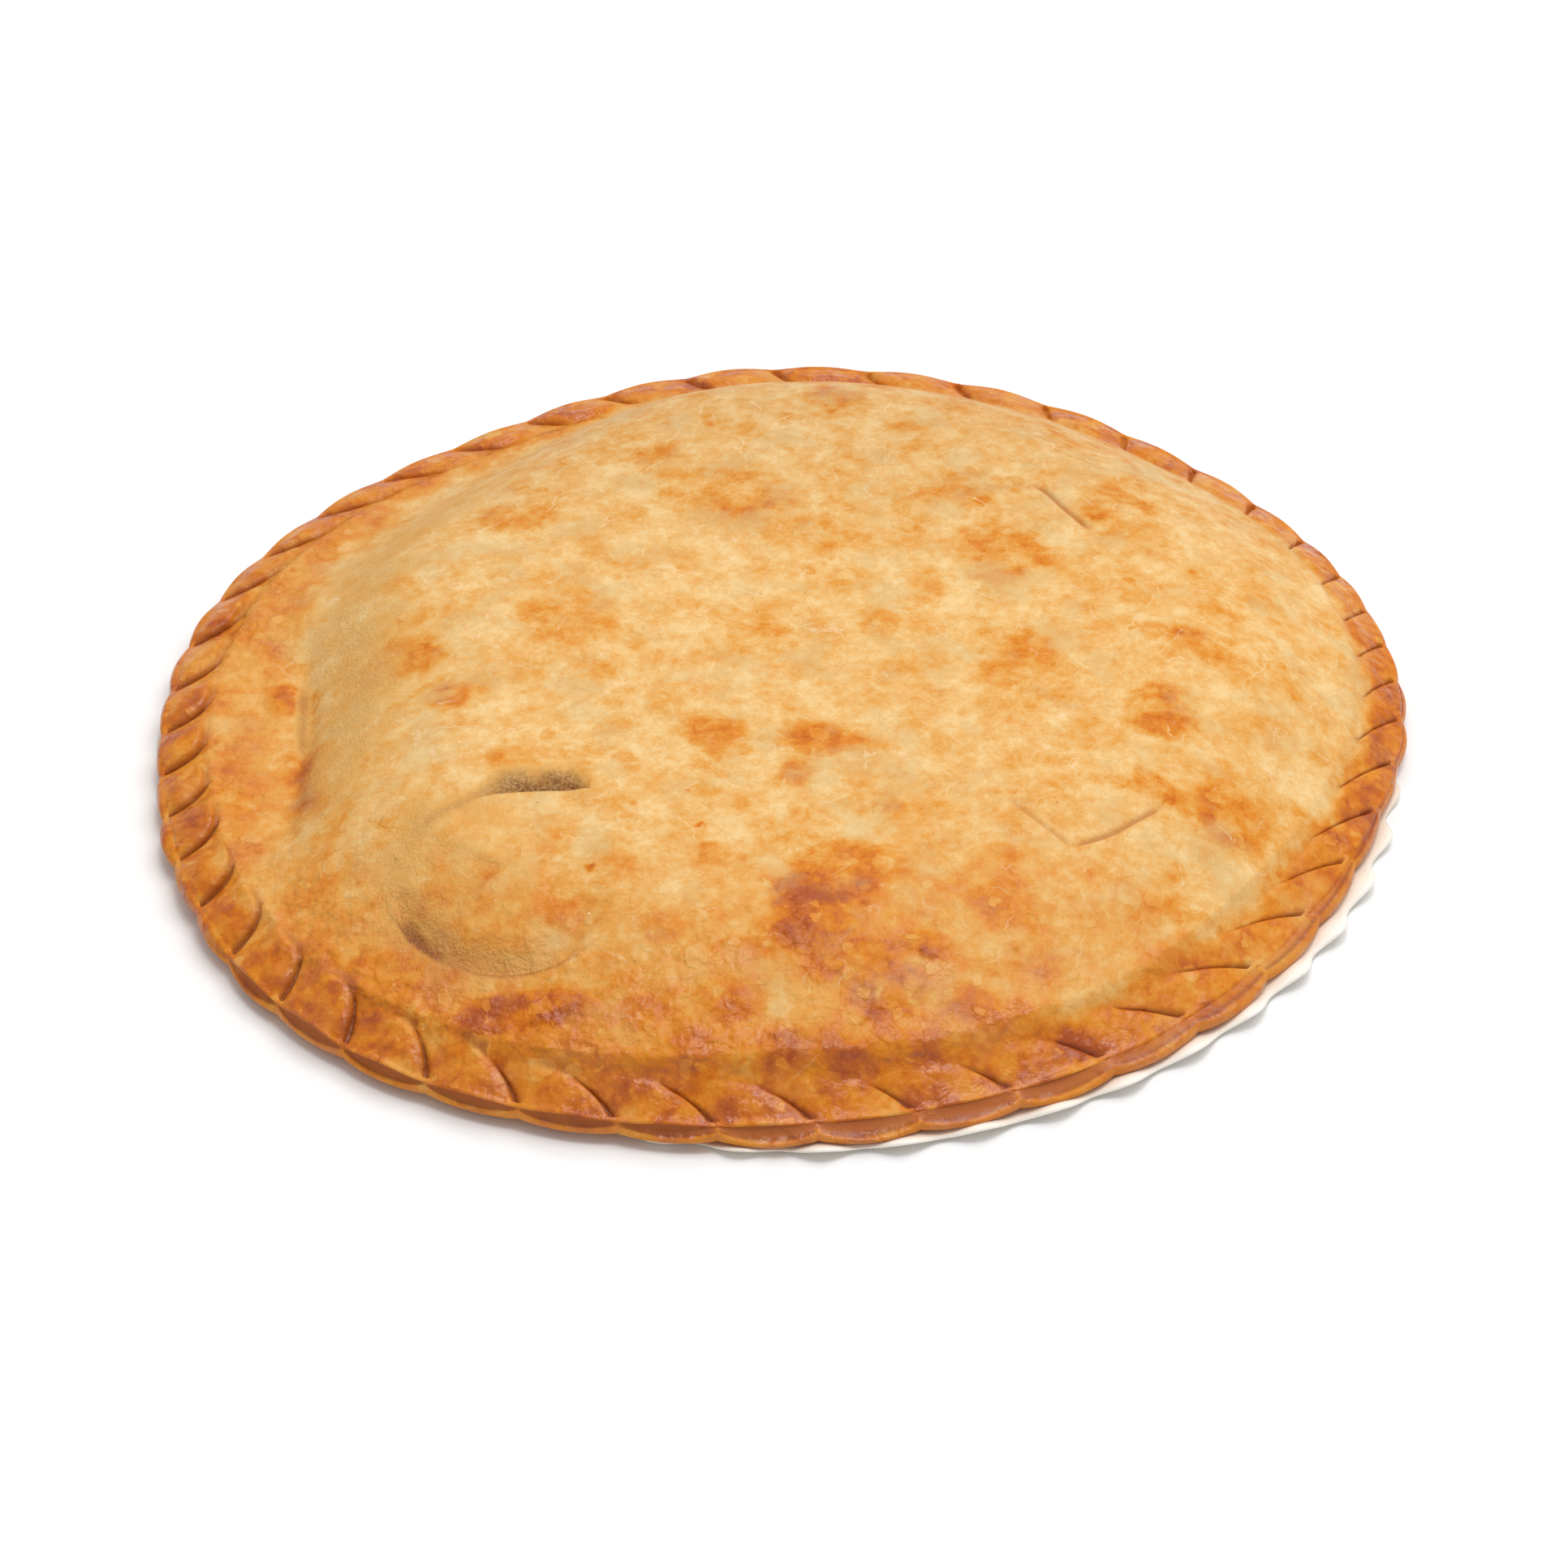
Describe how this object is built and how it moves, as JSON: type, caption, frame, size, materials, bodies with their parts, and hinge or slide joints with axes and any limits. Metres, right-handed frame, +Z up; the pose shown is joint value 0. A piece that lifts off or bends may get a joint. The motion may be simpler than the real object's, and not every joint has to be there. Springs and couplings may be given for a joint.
{
  "type": "meat empanada",
  "caption": "Large round baked meat pie with a rope-crimped rim, a browned domed top and a sunken patch, lying on a thin fluted paper case.",
  "frame": {"origin": "on the surface the pie stands on, under the middle of its footprint", "axes": "+Z up, +X to the right of someone looking at the pie, +Y away from that viewer"},
  "size_m": [0.2808, 0.2806, 0.0292],
  "materials": {
    "baked_crust": "baked pastry, golden with browned blisters, egg-washed and glossy near the rim",
    "greaseproof_paper": "thin matte greaseproof paper with fluted edge"
  },
  "bodies": {
    "root": {"empanada": "baked_crust", "paper_case": "greaseproof_paper"}
  },
  "joints": []
}
